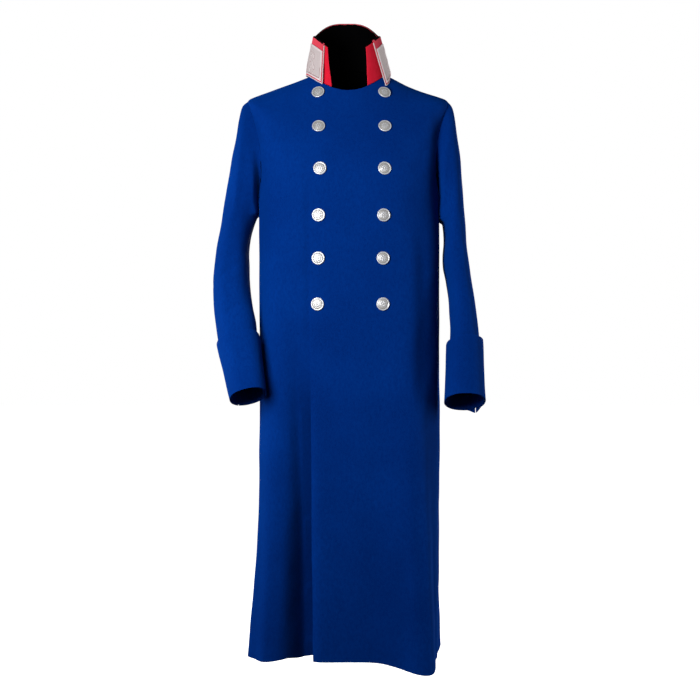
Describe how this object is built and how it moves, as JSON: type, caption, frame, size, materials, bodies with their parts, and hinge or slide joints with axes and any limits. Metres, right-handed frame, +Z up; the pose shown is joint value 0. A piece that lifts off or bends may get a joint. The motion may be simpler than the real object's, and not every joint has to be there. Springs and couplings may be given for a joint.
{
  "type": "double-breasted greatcoat",
  "caption": "Long double-breasted wool greatcoat with a turn-down lace-ended collar, turned-back cuffs and metal buttons, in its worn, filled-out form.",
  "frame": {"origin": "the middle of the neck, level with the inner ends of the shoulder seams, where the wearer's shoulders carry the coat", "axes": "+X to the wearer's left, +Y to the wearer's back, +Z up, with the coat hanging as worn"},
  "size_m": [0.5607, 0.3716, 1.3521],
  "materials": {
    "wool_blue": "matt fulled wool cloth, deep royal blue",
    "wool_red": "red wool cloth with a soft sheen",
    "lining_black": "plain black lining",
    "lace_silver": "silver metal-thread lace",
    "piping_white": "white woollen piping cord",
    "button_silver": "silvered metal, slightly dull"
  },
  "bodies": {
    "root": {"front_left": "wool_blue", "front_right": "wool_blue", "back_left": "wool_blue", "back_right": "wool_blue", "sleeve_upper_left": "wool_blue", "sleeve_under_left": "wool_blue", "sleeve_upper_right": "wool_blue", "sleeve_under_right": "wool_blue", "cuff_left": "wool_blue", "cuff_right": "wool_blue", "collar_stand": "wool_red", "collar_fall": "wool_red", "collar_lining": "lining_black", "neck_facing": "lining_black", "collar_lace_left": "lace_silver", "collar_lace_right": "lace_silver", "collar_piping": "piping_white", "button_left_1": "button_silver", "button_left_2": "button_silver", "button_left_3": "button_silver", "button_left_4": "button_silver", "button_left_5": "button_silver", "button_left_6": "button_silver", "button_right_1": "button_silver", "button_right_2": "button_silver", "button_right_3": "button_silver", "button_right_4": "button_silver", "button_right_5": "button_silver", "button_right_6": "button_silver"}
  },
  "joints": []
}
